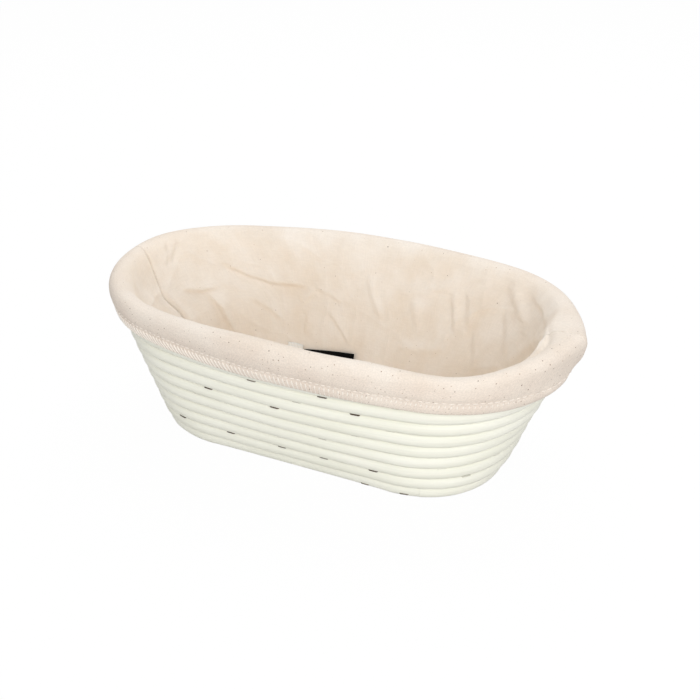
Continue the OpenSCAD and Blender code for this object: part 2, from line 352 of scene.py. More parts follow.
def baseRing(i):
    turn, q = divmod(i, loopSteps)
    centre, facing = spiral(turn, q)
    out, moved = heading(facing), drawnOut(q)
    inside = max(0.0, (baseSteps - i) / loopSteps - 0.5)  # the turns inside the last one follow it in part
    centre += out * (moved * (turn + 1) / wall["baseTurns"] + stray(0, q + endSteps) * math.exp(-canes["follow"] * inside))
    risen = smooth((i - (baseSteps - canes["riseFrom"])) / wall["climbSteps"])  # the last half turn is the wall's first course
    spread = (ovalPoint(0.5, facing) - ovalPoint(0, facing)).dot(out) * 2
    lean = mix(math.pi / 2, math.atan2(spread, wall["pitch"]), risen)
    halfBase = (wall["basePitch"] + moved / wall["baseTurns"]) / 2
    return centre, facing, lean, mix(halfBase, math.hypot(spread, wall["pitch"]) / 2, risen)


def sweep(bm, rings):  # a closed tube through rings of points, with its ends cut square
    loop = bmesh.ops.create_circle(bm, cap_ends=True, segments=len(rings[0]), radius=1)["verts"]
    edges = list({e for v in loop for e in v.link_edges})
    cutEdges, loops = list(edges), []
    for n, ring in enumerate(rings):
        if n:
            grown = bmesh.ops.extrude_edge_only(bm, edges=edges)["geom"]
            fresh = {g for g in grown if isinstance(g, bmesh.types.BMVert)}
            edges = [g for g in grown if isinstance(g, bmesh.types.BMEdge) and fresh.issuperset(g.verts)]
            loop = [next(e.other_vert(v) for e in v.link_edges if e.other_vert(v) in fresh) for v in loop]
        for vert, place in zip(loop, ring):
            vert.co = place
        loops.append(loop)
    bmesh.ops.contextual_create(bm, geom=edges)
    for edge in cutEdges + edges:
        edge.smooth = False
    bmesh.ops.recalc_face_normals(bm, faces=bm.faces)
    return loops


def windCane(name, ringAt, first, last, halfOut, nodes, along):  # along is the length wound before it
    sides = canes["sides"]
    count = round((last - first) * canes["ringsPerStep"])
    lastCentre, rings, lengths = None, [], []
    wanderFrom = first - baseSteps if ringAt == baseRing else first  # runs on from the base to the wall
    for n in range(count + 1):
        i = mix(first + canes["buttGap"], last - canes["buttGap"], n / count)
        centre, facing, lean, halfUp = ringAt(i)
        along += (centre - lastCentre).length if lastCentre else 0
        lastCentre = centre.copy()
        wander = noise.noise_vector(Vector(((wanderFrom + i - first) * canes["wanderPace"], 3.7, 1.3)))
        halfUp *= canes["press"] * (1 + canes["swell"] * wander.z)
        outward, slope = leaning(facing, lean)
        centre = centre + outward * canes["wander"] * wander.x
        cut, anchor = 1.0, 0.0
        atRim = smooth((windingCourse(i) - rimCourse + 0.75) / 0.5) if ringAt == wallRing else 0
        if atRim:  # the rim's dip, and the last cane's tail under the cuff
            lowered = atRim * rimLowered(i + wall["splice"])
            cut, anchor = 1 - lowered / (2 * halfUp), -1.0
            if i > rimCourse * loopSteps + wall["climbFrom"]:
                climbed = smooth((i - rimCourse * loopSteps - wall["climbFrom"]) / wall["climbSteps"])
                cut, anchor = max(canes["tailEnd"], 1 - climbed), 1.0
                centre = centre - slope * lowered
        ring = []
        for k in range(sides):
            angle = 2 * math.pi * (k / sides + 0.5)  # the grain's join lies on the inside
            x, y = (math.copysign(abs(w) ** (2 / canes["square"]), w) for w in (math.cos(angle), math.sin(angle)))
            place = centre + outward * x * halfOut + slope * halfUp * (anchor * (1 - cut) + y * cut)
            ring.append(Vector((place.x, place.y, max(0.0, place.z))))
        rings.append(ring)
        lengths.append(along)
    bm = bmesh.new()
    layer = bm.verts.layers.float_vector.new("grain")
    for loop, at in zip(sweep(bm, rings), lengths):
        for k, vert in enumerate(loop):
            vert[layer] = (at, k / sides * 2 * math.pi * caneR, 0)
    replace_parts(finishPiece(name, bm, bleachedRattan, "basket", "cane"), *nodes)
    return along


noise.seed_set(canes["seed"])
wound = windCane("baseCane", baseRing, 0, baseSteps, canes["halfBase"], ["base_cane"], 0.0)
for number, turn in enumerate(canes["starts"]):
    last = canes["starts"][number + 1] * loopSteps if number < 3 else wallSteps + canes["tailPast"]
    wound = windCane(f"wallCane{number + 1}", wallRing, turn * loopSteps, last, canes["halfOut"], [f"wall_cane_{number + 1}"], wound)
print("canes wound")

# Steel staple wire: a few staples have browned in the damp, the others keep a dull zinc, painted pale as painted light
# against the shade of the grooves they lie in
stapleWire, tree, shader = newMaterial("stapleSteelWire")
wireNoise = addNoise(tree, addNode(tree, "TexCoord").outputs["Object"], 1 / (2.5 * mm), 3.0)
browned = addNode(tree, "Attribute", attribute_name="browned").outputs["Fac"]
brownTone = blend(tree, wireNoise, "#241810", "#5C4431")
# painted light: the zinc is painted pale so that the staples don't show the shade of the grooves
litZincTone = blend(tree, wireNoise, "#E0DECF", "#ECEADF")
wireTone = blend(tree, browned, litZincTone, brownTone)
wireRough = ranged(tree, wireNoise, 0.0, 1.0, 0.4, 0.7)
plug(tree, shader, {"Base Color": wireTone, "Metallic": 0.15, "Roughness": wireRough})

# The wall's staples lie in the grooves and hold each course to the next
staples = {
    "perCourse": 18,
    "start": 0.25,
    "stagger": 0.5,
    "crown": 4.3 * mm,
    "bend": 0.5 * mm,
    "legs": 4.5 * mm,
    "slant": math.radians(30),  # the legs go down into the course below
    "wire": 0.36 * mm,
    "sides": 6,
    "out": 1.3 * mm,
    "proudOut": 2.0 * mm,  # the browned ones stand proud of the groove
    "astray": 1.2 * mm,  # driven by hand, so not evenly spaced
    "seed": 5,
    # the browned ones, by turn and number round it: how far each was driven astray in mm, and how brown it is
    "browned": {
        (6, 10): (-3.7, 0.8), (6, 11): (-0.5, 0.9), (5, 12): (-1, 1), (4, 10): (-1.8, 1), (4, 11): (4.7, 1),
        (2, 13): (-2.2, 0.5), (0, 11): (-5, 0.95), (0, 12): (-2, 1), (0, 13): (1, 0.95), (0, 14): (-2.5, 0.9),
        (0, 15): (-3, 1), (5, 11): (2, 0.35), (3, 10): (3, 0.3),
    },
    "foot": (15.59, 16.6),  # two more hold the foot's front, so many steps round the base's last turn
    "footOut": 3.2 * mm,
    "footBrown": 0.85,
    "rimOut": 2.7 * mm,  # the rim's own staples go in at its shoulder, below its dip
    "rimShoulder": 0.6,
    "belowDip": 0.8,
    "paleBrown": 0.25,  # the most that the others have browned
}
halfCrown, crownBend = staples["crown"] / 2, staples["bend"]
halfWire = (
    (halfCrown, -staples["legs"]), (halfCrown, -crownBend),
    (halfCrown - 0.3 * crownBend, -0.3 * crownBend), (halfCrown - crownBend, 0),
)
wirePath = [Vector((-x, y, 0)) for x, y in halfWire] + [Vector((x, y, 0)) for x, y in reversed(halfWire)]
wireRings = []
for n, place in enumerate(wirePath):
    run = (wirePath[min(n + 1, len(wirePath) - 1)] - wirePath[max(n - 1, 0)]).normalized()
    turns = (2 * math.pi * k / staples["sides"] for k in range(staples["sides"]))
    wireRings.append([place + staples["wire"] * (up * math.cos(t) + run.cross(up) * math.sin(t)) for t in turns])
bm = bmesh.new()
sweep(bm, wireRings)
oneStaple = bpy.data.meshes.new("oneStaple")
bm.to_mesh(oneStaple)
bm.free()


def driveStaple(bm, layer, ring, away, rise, slant, brown):
    centre, facing, lean, halfUp = ring
    outward, slope = leaning(facing, lean)
    before = len(bm.verts)
    bm.from_mesh(oneStaple)
    bm.verts.ensure_lookup_table()
    added = bm.verts[before:]
    for vert in added:
        vert[layer] = brown
    along, face = outward.cross(slope), outward * math.cos(slant) + slope * math.sin(slant)
    turned = Matrix((along, face, along.cross(face))).transposed().to_4x4()
    bmesh.ops.transform(bm, matrix=Matrix.Translation(centre + outward * away + slope * rise) @ turned, verts=added)


stapleDraw = random.Random(staples["seed"])
for number, first in enumerate(canes["starts"]):
    bm = bmesh.new()
    layer = bm.verts.layers.float.new("browned")
    last = canes["starts"][number + 1] if number < 3 else wall["courses"]
    for turn in range(first, last):
        for n in range(staples["perCourse"]):
            astray, brown = stapleDraw.uniform(-1, 1) * staples["astray"], stapleDraw.random() ** 4 * staples["paleBrown"]
            if (turn, n) in staples["browned"]:
                astray, brown = staples["browned"][turn, n]
                astray *= mm
            share = (n + staples["start"] + turn * staples["stagger"]) / staples["perCourse"]
            share += astray / (4 * sum(quarterLengths(turn)))
            i = turn * loopSteps + (courseStep(turn, share) - wall["splice"]) % loopSteps
            if windingCourse(i) < 0.95 or i > wallSteps - 3:  # none before the first course is up, nor in the thin tail
                continue
            ring = wallRing(i)
            proud, rise = mix(staples["out"], staples["proudOut"], brown), ring[3]
            if windingCourse(i) > rimCourse - 0.5:
                proud = staples["rimOut"]
                rise = staples["rimShoulder"] * ring[3] - staples["belowDip"] * rimLowered(i + wall["splice"])
            driveStaple(bm, layer, ring, proud, rise, staples["slant"], brown)
    for q in staples["foot"] if number == 0 else ():
        ring = baseRing((wall["baseTurns"] - 1) * loopSteps + q)
        driveStaple(bm, layer, ring, staples["footOut"], 0.0, 0.0, staples["footBrown"])
    bmesh.ops.recalc_face_normals(bm, faces=bm.faces)
    group = finishPiece(f"wallStaples{number + 1}", bm, stapleWire, "basket", "staple_wire")
    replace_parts(group, f"wall_staples_{number + 1}")
bpy.data.meshes.remove(oneStaple)
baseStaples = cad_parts["base_staples"].data
baseStaples.materials.clear()
baseStaples.materials.append(stapleWire)
print("staples driven")

# Unbleached cotton in plain weave: warm cream, uneven thick threads, dark specks of seed husk, a matt face with a
# little fuzz, with painted light and shade: the lining inside painted lighter, the cuff darker and the hem band shaded
unbleachedCotton, tree, shader = newMaterial("unbleachedCotton")
cotton = {
    "thread": 1.0 * mm,  # threads are 0.45 mm apart, drawn coarser to show
    "slub": 5 * mm,
    "nap": 0.8 * mm,
    "blotch": 30 * mm,
    "huskGap": 2.6 * mm,
    "cuffFrom": 70 * mm, "cuffFull": 90 * mm,  # up the cloth from the floor, where the cuff's darker painted shade comes in, with its coarser nap
    "hemFrom": 103 * mm, "hemFull": 106 * mm,
}
weave = clothMap(tree)
warp = addNoise(tree, inSizes(tree, weave, cotton["thread"], cotton["slub"]), 1.0, 1.0)
weft = addNoise(tree, inSizes(tree, weave, cotton["slub"], cotton["thread"]), 1.0, 1.0)
nap = addNoise(tree, weave, 1 / cotton["nap"], 2.0, 0.7)
surface = maths(tree, "MULTIPLY_ADD", nap, 1.2, maths(tree, "ADD", warp, weft))
blotch = addNoise(tree, weave, 1 / cotton["blotch"], 4.0, 0.6)
toneShare = ranged(tree, blotch, 0.35, 0.65, 0.0, 1.0)
height = addNode(tree, "SeparateXYZ", {"Vector": weave}).outputs["Y"]
outside = ranged(tree, height, cotton["cuffFrom"], cotton["cuffFull"], 0.0, 1.0)
# painted light and shade: the lining inside is painted lighter and the cuff, the same cloth, darker
litInsideTone, shadedCuffTone = blend(tree, toneShare, "#EEE2D3", "#F5EDE3"), blend(tree, toneShare, "#E5D6C8", "#ECE0D3")
clothTone = blend(tree, outside, litInsideTone, shadedCuffTone)
# painted shade: the hem band among the overlock stitches is darkened
hemPaintedShade = ranged(tree, height, cotton["hemFrom"], cotton["hemFull"], 1.0, 0.96)
insideShade = ranged(tree, surface, 1.2, 2.0, 0.965, 1.02)
cuffShade = ranged(tree, nap, 0.3, 0.7, 0.87, 1.08)
threadShade = addNode(tree, "Mix", {0: outside, 2: insideShade, 3: cuffShade}).outputs[0]
shaded = maths(tree, "MULTIPLY", threadShade, hemPaintedShade)
# the cloth's tone with its threads, and with the painted light and shade above
woven = addNode(tree, "VectorMath", {0: clothTone, 1: shaded}, operation="MULTIPLY").outputs[0]
huskInputs = {"Vector": weave, "Scale": 1 / cotton["huskGap"], "Randomness": 1.0}
husk = addNode(tree, "TexVoronoi", huskInputs, voronoi_dimensions="2D").outputs
huskPick = addNode(tree, "SeparateColor", {"Color": husk["Color"]}).outputs
huskFrom = ranged(tree, outside, 0.0, 1.0, 0.97, 0.5)  # the husks show most on the cuff
huskSize = ranged(tree, huskPick["Red"], huskFrom, 1.0, 0.0, 0.125)
huskMask = ranged(tree, maths(tree, "SUBTRACT", huskSize, husk["Distance"]), 0.0, 0.03, 0.0, 0.9)
huskTone = blend(tree, huskPick["Green"], "#6B4F3C", "#BFA58E")
clothBump = addNode(tree, "Bump", {"Height": surface, "Strength": 0.45, "Distance": 0.25 * mm}).outputs[0]
plug(tree, shader, {
    "Base Color": blend(tree, huskMask, woven, huskTone), "Normal": clothBump, "Roughness": 0.92,
    "Sheen Weight": 0.1, "Sheen Roughness": 0.6, "Specular IOR Level": 0.25,
})

# The liner: two wall panels that line the wall, roll over the rim and end in a drawn-in hem
liner = {
    "across": 252,
    "down": 118,
    "thick": 0.8 * mm,
    "inside": 5.0 * mm,  # from the middle of the wall in to the face of the cloth
    "floorTop": 7.06 * mm,
    "rollIn": 4.5 * mm,
    "rollOut": 5.3 * mm,
    "rollFrom": 156,  # the roll starts where it meets the lean of the lining
    # the cuff below the roll and the turned hem, as how far out and how far below the rim
    "cuff": (
        (5.8, 2.4), (6.1, 4.8), (5.9, 7.0), (5.3, 8.6), (5.7, 9.9), (6.1, 11.6),
        (6.0, 13.4), (5.7, 14.8), (4.8, 15.3), (4.2, 14.3), (4.0, 12.0),
    ),
    "hemLean": 0.022,  # the hem hangs lower towards the right, and most at the right end
    "hemDrop": 3.4 * mm,
    "hemDropAt": 605 * mm,
    "hemDropWidth": 36 * mm,
    "hemRaise": 0.2 * mm,
    "sag": 0.6 * mm,
    "sagSpan": 60 * mm,
    "billow": 0.9 * mm,
    "cuffBillow": 0.35 * mm,
    "billowSpan": 34 * mm,
    "crumple": 0.75 * mm,
    "crumpleSpan": 30 * mm,
    "crumpleEdge": 7,  # how sharp the crumples are
    "fineSpan": 11 * mm,
    "flatBelow": 18 * mm,  # the cloth lies flatter near the floor, behind the labels
    "gather": 0.3 * mm,  # the elastic gathers the cloth above the hem
    "gatherSpan": 4.2 * mm,
    "gatherTall": 22 * mm,
    "stand": 1.2 * mm,  # the slack cloth stands off the wall
    "standFrom": 8 * mm,
    "standOver": 20 * mm,
    "rimFrom": 56 * mm,  # the lining follows the rim's dip from here up
    "rimOver": 20 * mm,
    "room": 0.45 * mm,  # how far the cloth may sink towards the canes
    "noseOut": 4.0 * mm,  # the end seam's allowance pushes the cuff out at the right end
    "noseBack": 12 * mm,
    "noseFront": 11 * mm,
    "hemOut": 3.4 * mm,
    "hemOutAt": -13 * mm,
    "hemOutWidth": 16 * mm,
    "puffIn": 5.8 * mm,  # and the slack cloth makes a broad shelf inside it
    "puffAt": 9 * mm,
    "puffWidth": 16 * mm,
    "puffFrom": 63 * mm,
    "puffOver": 14 * mm,
    "lobeIn": 3.0 * mm,  # with a fold beside the shelf's front end, behind a valley
    "lobeAt": -14 * mm,
    "lobeWidth": 14 * mm,
    "lobeTop": 81.4 * mm,
    "lobeTopOver": 2.2 * mm,
    "lobeFoot": 78 * mm,
    "lobeFootOver": 12 * mm,
    "lobeUp": 1.3 * mm,
    "lobeUpAt": 78.3 * mm,
    "valley": 3.6 * mm,
    "valleyAt": 80.4 * mm,
    "valleyWidth": 0.8 * mm,
    "seamLean": 10 * mm,  # the left seam is drawn towards the back at its foot
    "seamIn": 2.0 * mm,
    "seamWidth": 1.3 * mm,
    "rightSeamTop": 70 * mm,
    "seed": 11,
}


def clothOutline():  # evenly spaced points up the inside, over the rim and down to the hem
    start = math.radians(liner["rollFrom"])
    rough = [Vector((-liner["inside"], mix(liner["floorTop"], rimZ, n / 60))) for n in range(61)]
    for n in range(25):
        turn = start * (1 - n / 24)
        radius = mix(liner["rollIn"], liner["rollOut"], smooth(n / 24))
        rough.append(Vector((radius * math.cos(turn), rimZ + radius * math.sin(turn))))
    rough += [Vector((out * mm, rimZ - below * mm)) for out, below in liner["cuff"]]
    lengths = [0.0]
    for a, b in zip(rough, rough[1:]):
        lengths.append(lengths[-1] + (b - a).length)
    fine, n = [], 0
    for row in range(liner["down"] * 4 + 1):
        want = lengths[-1] * row / (liner["down"] * 4)
        while n < len(rough) - 2 and lengths[n + 1] < want:
            n += 1
        fine.append(rough[n].lerp(rough[n + 1], (want - lengths[n]) / (lengths[n + 1] - lengths[n])))
    for _ in range(10):  # rounds the corners between the measured points
        fine = [fine[0], *((a + b + c) / 3 for a, b, c in zip(fine, fine[1:], fine[2:])), fine[-1]]
    return fine[::4], lengths[-1]


outline, outlineLength = clothOutline()
topRow = max(range(len(outline)), key=lambda n: outline[n].y)
outRow = min(range(topRow, len(outline)), key=lambda n: abs(outline[n].y - rimZ + 1 * mm) + (outline[n].x < 0))
creaseRow = min(range(topRow, len(outline)), key=lambda n: (outline[n] - Vector((5.6 * mm, rimZ - 8.6 * mm))).length)
hemRow = min(range(creaseRow, len(outline)), key=lambda n: outline[n].y)

# The folds of the lining as the photograph shows them: the kind, how proud it stands and how wide it is in mm, and
# its line in mm round the rim from the right end and mm above the table
folds = [
    ("lap", 3.3, 5.5, ((208, 51), (218, 51), (227, 51), (241, 51), (254, 54.5), (265, 61), (270, 65))),
    ("lap", 1.8, 4.0, ((184, 45), (196, 49), (208, 51))),
    ("lap", 3.0, 3.5, ((274, 49), (287, 49.5), (300, 54))),
    ("sharp", 5.2, 4.0, ((274, 18), (276.5, 28), (279, 39), (285, 49))),
    ("lap", 2.0, 4.0, ((299, 82), (300, 74.5), (304, 68))),
    ("lap", 2.0, 4.0, ((289, 80.5), (295, 74.5), (300, 68))),
    ("lap", 1.3, 4.0, ((220.5, 23), (219, 29), (215, 36.5))),
    ("lap", 1.6, 3.0, ((206, 50), (213, 44.5), (219.5, 40))),
    ("lap", 1.9, 4.0, ((178, 22), (189, 32.5), (198, 40))),
    ("lap", 1.9, 4.0, ((92, 40), (99, 51.5), (108, 65))),
    ("lap", 1.6, 4.5, ((84, 45), (91, 56.5), (99, 68))),
    ("lap", 1.7, 4.0, ((69, 25), (73.5, 36), (81, 48))),
    ("lap", 1.6, 5.0, ((52, 38), (59, 50.5), (70, 64))),
    ("ridge", 1.8, 5.0, ((46, 59), (64, 70.5), (77, 79.5))),
    ("lap", 1.6, 5.0, ((30, 70), (43, 73), (62, 76))),
    ("ridge", 1.7, 6.0, ((27, 66.5), (36, 55.5), (43, 45.5), (48, 34.5))),
    ("ridge", 1.4, 6.0, ((103, 69.5), (123, 62), (145, 56))),
    ("ridge", 1.3, 5.0, ((91, 32.5), (115.5, 30), (138, 28))),
    ("ridge", 1.2, 4.0, ((150, 40), (160, 52), (166, 66))),
    ("ridge", 1.4, 4.0, ((236, 30), (246, 38), (258, 44))),
    ("ridge", 1.3, 5.0, ((118, 36), (124, 46), (132, 58))),
]
creaseDraw = random.Random(liner["seed"])
for _ in range(18):  # the near side of the lining isn't seen, and is creased as the far side is
    q, z, turn = creaseDraw.uniform(330, 600), creaseDraw.uniform(16, 64), creaseDraw.uniform(-1.3, 1.3)
    reach, bow = creaseDraw.uniform(9, 26), creaseDraw.uniform(-3, 3)
    line = []
    for t in (-1, -0.4, 0.4, 1):
        aside = bow * (1 - t * t)
        level, above = reach * t * math.cos(turn), reach * t * math.sin(turn) * 0.6
        line.append((q + level - aside * math.sin(turn), z + above + aside * math.cos(turn)))
    kind, proud = creaseDraw.choice(("lap", "ridge")), creaseDraw.choice((-1, 1)) * creaseDraw.uniform(0.5, 1.1)
    folds.append((kind, proud, creaseDraw.uniform(3.5, 5.5), line))


def foldHeight(q, z):  # in mm
    total = 0.0
    for kind, proud, width, line in folds:
        margin = width * 3
        if not min(p[0] for p in line) - margin < q < max(p[0] for p in line) + margin:
            continue
        best, spans = (margin, 0, 0), len(line) - 1
        for n, ((q0, z0), (q1, z1)) in enumerate(zip(line, line[1:])):
            dq, dz = q1 - q0, z1 - z0
            t = min(1, max(0, ((q - q0) * dq + (z - z0) * dz) / (dq * dq + dz * dz)))
            away = math.hypot(q - q0 - t * dq, z - z0 - t * dz)
            if away < best[0]:
                best = (away, dq * (z - z0) - dz * (q - q0), (n + t) / spans)
        away, side, t = best
        fade = smooth(4 * t) * smooth(4 * (1 - t)) * (1 - (away / margin) ** 2) ** 2
        if kind == "ridge":
            total += proud * fade * bell(away * 1.6, width)
        else:
            soft = 1.3 if kind == "sharp" else 2.0
            total += proud * fade * math.tanh(math.copysign(away, side) / soft) * math.exp(-away / width)
    return total


def seamShare(middle, row):  # the end seams stand upright, but the left one is drawn aside at its foot
    below = smooth((0.64 - row / topRow) / 0.26)
    return middle - (liner["seamLean"] * below / girth if middle == 0.5 else 0)


def fromRight(share):  # how far round the rim from the right end, less than nothing on the near side
    return (share + 0.5) % 1 * girth - girth / 2


def spotNoise(q, along, span, layer):
    return noise.noise(Vector((q / span, along / span, layer)))


def clothSwell(share, row):  # how far the cloth stands off its plain outline
    q, along = share % 1 * girth, row / liner["down"] * outlineLength
    z = outline[min(int(row), len(outline) - 1)].y
    lined = 1 - smooth((row - topRow + 14) / 14)  # one on the lining, none from the top of the roll
    turnedIn = smooth((row - hemRow + 6) / 8)  # nothing on the part turned under
    swell = spotNoise(q, along, liner["billowSpan"], 3.1) * mix(liner["cuffBillow"], liner["billow"], lined) * (1 - turnedIn)
    if lined > 0:
        near = noise.voronoi(Vector((q / liner["crumpleSpan"], along / liner["crumpleSpan"], 7.7)))[0]
        creased = math.exp(-(near[1] - near[0]) * liner["crumpleEdge"]) * liner["crumple"]
        stand = liner["stand"] * smooth((along - liner["standFrom"]) / liner["standOver"])
        fine = spotNoise(q, along, liner["fineSpan"], 9.2) * liner["crumple"] * 0.5
        low = min(1.0, (z - liner["floorTop"]) / liner["flatBelow"])
        fromSeam = abs(q - seamShare(0.5, row) * girth)
        if z <= liner["rightSeamTop"]:
            fromSeam = min(q, girth - q, fromSeam)
        drawnIn = liner["seamIn"] * bell(fromSeam, liner["seamWidth"])
        swell = swell * low + ((foldHeight(q / mm, z / mm) * mm + creased + fine) * low + stand - drawnIn) * lined
    gather = noise.noise(Vector((q / liner["gatherSpan"], along / liner["gatherTall"], 5.5)))
    swell += liner["gather"] * gather * bell(row - creaseRow, 8) * (1 - turnedIn)
    nose = smooth((row - topRow) / 7) * (1 - smooth((row - outRow - 3) / (creaseRow - outRow)))
    right = fromRight(share)
    swell += liner["noseOut"] * math.exp(-abs(right) / liner["noseBack" if right > 0 else "noseFront"]) * nose
    hemOut = bell(right - liner["hemOutAt"], liner["hemOutWidth"])
    swell += liner["hemOut"] * hemOut * smooth((row - outRow - 3) / 8) * (1 - turnedIn)
    room = liner["room"] / 2
    return swell if swell > -room else -room - room * math.tanh((-swell - room) / room)


def shelfIn(share, row, z):  # slack cloth inside the right end
    right = fromRight(share)
    puff = liner["puffIn"] * bell(right - liner["puffAt"], liner["puffWidth"])
    lobe = liner["lobeIn"] * bell(right - liner["lobeAt"], liner["lobeWidth"])
    lobe *= smooth((liner["lobeTop"] - z) / liner["lobeTopOver"]) * (1 - smooth((liner["lobeFoot"] - z) / liner["lobeFootOver"]))
    return puff * smooth((z - liner["puffFrom"]) / liner["puffOver"]) * smooth((topRow - row) / 5) + lobe


def hemHang(share):  # how far the hem hangs below its even height
    away = abs(fromRight(share - liner["hemDropAt"] / girth))
    return liner["hemLean"] * min(wallPoint(0, rimZ, stepAt(share)).x, 80 * mm) + liner["hemDrop"] * bell(away, liner["hemDropWidth"])


def linerPoint(share, row):
    n = min(max(int(row), 0), len(outline) - 2)
    here = outline[n].lerp(outline[n + 1], row - n)
    run = (outline[min(n + 2, len(outline) - 1)] - outline[max(n - 1, 0)]).normalized()
    flat = here.y
    here = here + Vector((-run.y, run.x)) * clothSwell(share, row)
    hang = smooth((row - outRow + 4) / (creaseRow - outRow + 4))
    sag = noise.noise(Vector((share % 1 * girth / liner["sagSpan"], 2.2, 8.8))) * liner["sag"]
    drop = (hemHang(share) - liner["hemRaise"] + sag) * hang
    onRim = smooth((flat - liner["rimFrom"]) / liner["rimOver"]) if row < topRow else 1 - hang
    drop += rimDip(share) * onRim
    if row < topRow:  # the valley between the roll and the fold at the right end
        beside = bell(fromRight(share) - liner["lobeAt"], liner["lobeWidth"])
        drop += liner["valley"] * beside * bell(flat - liner["valleyAt"], liner["valleyWidth"])
        drop -= liner["lobeUp"] * beside * bell(flat - liner["lobeUpAt"], 1.3 * mm)
    return wallPoint(here.x - (shelfIn(share, row, flat) if row < topRow else 0), here.y - drop, stepAt(share))


def layCloth(name, across, down, place, flatten, material, slot):
    bm = bmesh.new()
    layer = bm.loops.layers.uv.new("weave")
    bmesh.ops.create_grid(bm, x_segments=across, y_segments=down, size=0.5)
    spots = {v: (round((v.co.x + 0.5) * across) / across, round((v.co.y + 0.5) * down) / down) for v in bm.verts}
    for face in bm.faces:
        for corner in face.loops:
            corner[layer].uv = flatten(*spots[corner.vert])
    for vert, (u, v) in spots.items():
        vert.co = place(u, v)
    bmesh.ops.remove_doubles(bm, verts=bm.verts, dist=0.01 * mm)
    return finishPiece(name, bm, material, "liner", slot)


def thicken(piece, thickness, offset=-1):
    solid = piece.modifiers.new("clothThickness", "SOLIDIFY")
    solid.thickness, solid.offset = thickness, offset
    return piece


def panelPlace(start, end):
    def place(u, v):
        row = v * liner["down"]
        lap = 0.25 * mm / girth
        return linerPoint(mix(seamShare(end, row) + lap, seamShare(start, row) - lap, u), row)
    return place


for name, start, end, part in (("linerBack", 0.0, 0.5, "back"), ("linerFront", 0.5, 1.0, "front")):
    panel = layCloth(
        name, liner["across"], liner["down"], panelPlace(start, end),
        lambda u, v: (mix(end, start, u) * girth, v * outlineLength), unbleachedCotton, "liner_cloth",
    )
    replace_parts(panel, f"liner_{part}", f"cuff_{part}", f"hem_{part}")
    thicken(panel, liner["thick"])
print("liner panels laid")

# The oval floor of the liner, and the beads of its seams
floorEdge = {
    "in": 5.6 * mm,
    "ripple": 0.5 * mm,
    "rippleSpan": 24 * mm,
    "fineSpan": 9 * mm,
    "bead": 0.65 * mm,
    "beadIn": 0.3 * mm,
    "beadUp": 0.7 * mm,
    "twist": 0.12,
    "twistSpan": 1.6 * mm,
    "welt": 1.6 * mm,
    "weltProud": 0.2 * mm,
    "weltThick": 0.3 * mm,
}


def floorPlace(u, v):
    edge = wallPoint(-floorEdge["in"], liner["floorTop"], stepAt(u)) * v
    ripple = spotNoise(edge.x, edge.y, floorEdge["rippleSpan"], 4.4) + 0.5 * spotNoise(edge.x, edge.y, floorEdge["fineSpan"], 1.4)
    edge.z = liner["floorTop"] + floorEdge["ripple"] * (0.6 + ripple) * (1 - v ** 6)
    return edge


floorCloth = layCloth("linerFloor", 120, 30, floorPlace, lambda u, v: floorPlace(u, v).xy, unbleachedCotton, "liner_cloth")
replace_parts(floorCloth, "liner_floor")
thicken(floorCloth, liner["thick"])


def beadPlace(u, v):
    centre = wallPoint(-floorEdge["in"] - floorEdge["beadIn"], liner["floorTop"] + floorEdge["beadUp"], stepAt(v))
    inward = (wallPoint(-1, liner["floorTop"], stepAt(v)) - wallPoint(0, liner["floorTop"], stepAt(v))).normalized()
    twist = 1 + floorEdge["twist"] * math.sin(v * girth / floorEdge["twistSpan"])
    return centre + floorEdge["bead"] * twist * (inward * math.cos(2 * math.pi * u) + up * math.sin(2 * math.pi * u))


bead = layCloth("floorSeamBead", 8, 420, beadPlace, lambda u, v: (v * girth, u * 4 * mm), unbleachedCotton, "liner_cloth")
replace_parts(bead, "floor_seam")


def weltPlace(middle, last):
    def place(u, v):
        row = mix(3, last, v)
        share = seamShare(middle, row) + (0.5 - u) * floorEdge["welt"] / girth
        rise = linerPoint(share, row + 0.5) - linerPoint(share, row - 0.5)
        across = linerPoint(share + 0.001, row) - linerPoint(share - 0.001, row)
        return linerPoint(share, row) + rise.cross(across).normalized() * -floorEdge["weltProud"] * math.sin(math.pi * u)
    return place


welts = (("leftEndWelt", 0.5, topRow - 2, "left_end_seam"), ("rightEndWelt", 0.0, topRow - 18, "right_end_seam"))
for name, middle, last, node in welts:
    welt = layCloth(
        name, 6, 110, weltPlace(middle, last),
        lambda u, v: (u * floorEdge["welt"], v * 80 * mm), unbleachedCotton, "liner_cloth",
    )
    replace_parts(thicken(welt, floorEdge["weltThick"]), node)
print("floor and seams laid")

# Braided elastic: a flat off-white band with fine ribs along it, hidden in the hem
elasticBraid, tree, shader = newMaterial("braidedElastic")
elastic = {"rib": 0.9 * mm, "out": 4.9 * mm, "wide": 4 * mm, "thick": 0.4 * mm, "rows": (creaseRow + 2, hemRow - 3)}
braid = clothMap(tree)
ribs = addNode(tree, "TexWave", {"Vector": braid, "Scale": 1 / (2 * math.pi * elastic["rib"])}, bands_direction="Y")
ribTone = blend(tree, ribs.outputs["Fac"], "#DAD6CC", "#F2F0EA")
plug(tree, shader, {"Base Color": ribTone, "Roughness": 0.8})


def elasticPlace(u, v):
    row = mix(*elastic["rows"], v)
    return wallPoint(elastic["out"], outline[int(row)].y - hemHang(u), stepAt(u))


band = layCloth("hemElasticBand", 240, 4, elasticPlace, lambda u, v: (u * girth, v * elastic["wide"]), elasticBraid, "elastic")
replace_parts(thicken(band, elastic["thick"], 0), "hem_elastic")

# White cotton thread: soft matt strands, twisted, a shade lighter than the cloth
overlockThread, tree, shader = newMaterial("cottonThread")
ply = addNoise(tree, addNode(tree, "TexCoord").outputs["Object"], 1 / (0.6 * mm), 1.0)
plyTone = blend(tree, ply, "#EADFD2", "#FAF4EC")
plug(tree, shader, {"Base Color": plyTone, "Roughness": 0.85, "Sheen Weight": 0.2})

